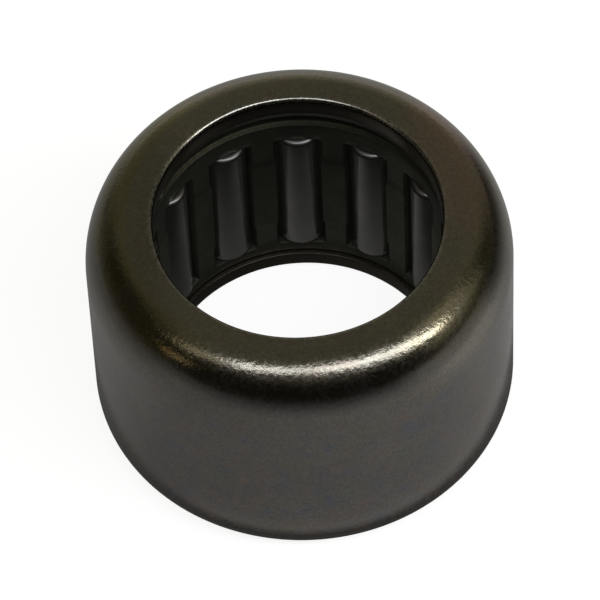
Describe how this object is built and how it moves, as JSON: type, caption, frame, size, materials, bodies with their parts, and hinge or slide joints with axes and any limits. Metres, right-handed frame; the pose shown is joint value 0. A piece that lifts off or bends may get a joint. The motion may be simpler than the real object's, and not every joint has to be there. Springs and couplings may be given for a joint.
{
  "type": "needle roller bearing",
  "caption": "Drawn cup needle roller bearing with open ends: thin steel cup with two inturned lips, windowed steel cage and slim cylindrical rollers round the bore.",
  "frame": {"origin": "on the bearing's axis, midway between the two end faces", "axes": "+Z along the bearing's axis, towards the drawn end with the larger corner radius; +Y is the direction from which the first roller is counted"},
  "size_m": [0.018, 0.018, 0.012],
  "materials": {
    "cup_steel": "dark oiled case-hardened steel, satin, olive-brown on the drawn face",
    "cage_steel": "dark formed sheet steel, matt and oiled",
    "roller_steel": "ground and polished bearing steel under a thin oil film"
  },
  "bodies": {
    "outer_cup": {"outer_cup": "cup_steel"},
    "cage": {"cage": "cage_steel"},
    "needle_roller_01": {"needle_roller_01": "roller_steel"},
    "needle_roller_02": {"needle_roller_02": "roller_steel"},
    "needle_roller_03": {"needle_roller_03": "roller_steel"},
    "needle_roller_04": {"needle_roller_04": "roller_steel"},
    "needle_roller_05": {"needle_roller_05": "roller_steel"},
    "needle_roller_06": {"needle_roller_06": "roller_steel"},
    "needle_roller_07": {"needle_roller_07": "roller_steel"},
    "needle_roller_08": {"needle_roller_08": "roller_steel"},
    "needle_roller_09": {"needle_roller_09": "roller_steel"},
    "needle_roller_10": {"needle_roller_10": "roller_steel"},
    "needle_roller_11": {"needle_roller_11": "roller_steel"},
    "needle_roller_12": {"needle_roller_12": "roller_steel"},
    "needle_roller_13": {"needle_roller_13": "roller_steel"}
  },
  "joints": [
    {"name": "cage_spin", "type": "hinge", "parent": "outer_cup", "child": "cage", "pos_m": [0, 0, 0], "axis": [0, 0, 1], "continuous": true},
    {"name": "roller_01_spin", "type": "hinge", "parent": "cage", "child": "needle_roller_01", "pos_m": [0.00016, 0.007, -0.00076], "axis": [0, 0, 1], "continuous": true},
    {"name": "roller_02_spin", "type": "hinge", "parent": "cage", "child": "needle_roller_02", "pos_m": [0.00339, 0.00612, -0.00076], "axis": [0, 0, 1], "continuous": true},
    {"name": "roller_03_spin", "type": "hinge", "parent": "cage", "child": "needle_roller_03", "pos_m": [0.00585, 0.00384, -0.00076], "axis": [0, 0, 1], "continuous": true},
    {"name": "roller_04_spin", "type": "hinge", "parent": "cage", "child": "needle_roller_04", "pos_m": [0.00697, 0.00069, -0.00076], "axis": [0, 0, 1], "continuous": true},
    {"name": "roller_05_spin", "type": "hinge", "parent": "cage", "child": "needle_roller_05", "pos_m": [0.00649, -0.00263, -0.00076], "axis": [0, 0, 1], "continuous": true},
    {"name": "roller_06_spin", "type": "hinge", "parent": "cage", "child": "needle_roller_06", "pos_m": [0.00452, -0.00534, -0.00076], "axis": [0, 0, 1], "continuous": true},
    {"name": "roller_07_spin", "type": "hinge", "parent": "cage", "child": "needle_roller_07", "pos_m": [0.00152, -0.00683, -0.00076], "axis": [0, 0, 1], "continuous": true},
    {"name": "roller_08_spin", "type": "hinge", "parent": "cage", "child": "needle_roller_08", "pos_m": [-0.00183, -0.00676, -0.00076], "axis": [0, 0, 1], "continuous": true},
    {"name": "roller_09_spin", "type": "hinge", "parent": "cage", "child": "needle_roller_09", "pos_m": [-0.00476, -0.00513, -0.00076], "axis": [0, 0, 1], "continuous": true},
    {"name": "roller_10_spin", "type": "hinge", "parent": "cage", "child": "needle_roller_10", "pos_m": [-0.0066, -0.00233, -0.00076], "axis": [0, 0, 1], "continuous": true},
    {"name": "roller_11_spin", "type": "hinge", "parent": "cage", "child": "needle_roller_11", "pos_m": [-0.00693, 0.001, -0.00076], "axis": [0, 0, 1], "continuous": true},
    {"name": "roller_12_spin", "type": "hinge", "parent": "cage", "child": "needle_roller_12", "pos_m": [-0.00567, 0.00411, -0.00076], "axis": [0, 0, 1], "continuous": true},
    {"name": "roller_13_spin", "type": "hinge", "parent": "cage", "child": "needle_roller_13", "pos_m": [-0.00311, 0.00627, -0.00076], "axis": [0, 0, 1], "continuous": true}
  ],
  "couplings": [
    {"joint": "roller_01_spin", "follows": "cage_spin", "ratio": -8},
    {"joint": "roller_02_spin", "follows": "cage_spin", "ratio": -8},
    {"joint": "roller_03_spin", "follows": "cage_spin", "ratio": -8},
    {"joint": "roller_04_spin", "follows": "cage_spin", "ratio": -8},
    {"joint": "roller_05_spin", "follows": "cage_spin", "ratio": -8},
    {"joint": "roller_06_spin", "follows": "cage_spin", "ratio": -8},
    {"joint": "roller_07_spin", "follows": "cage_spin", "ratio": -8},
    {"joint": "roller_08_spin", "follows": "cage_spin", "ratio": -8},
    {"joint": "roller_09_spin", "follows": "cage_spin", "ratio": -8},
    {"joint": "roller_10_spin", "follows": "cage_spin", "ratio": -8},
    {"joint": "roller_11_spin", "follows": "cage_spin", "ratio": -8},
    {"joint": "roller_12_spin", "follows": "cage_spin", "ratio": -8},
    {"joint": "roller_13_spin", "follows": "cage_spin", "ratio": -8}
  ]
}
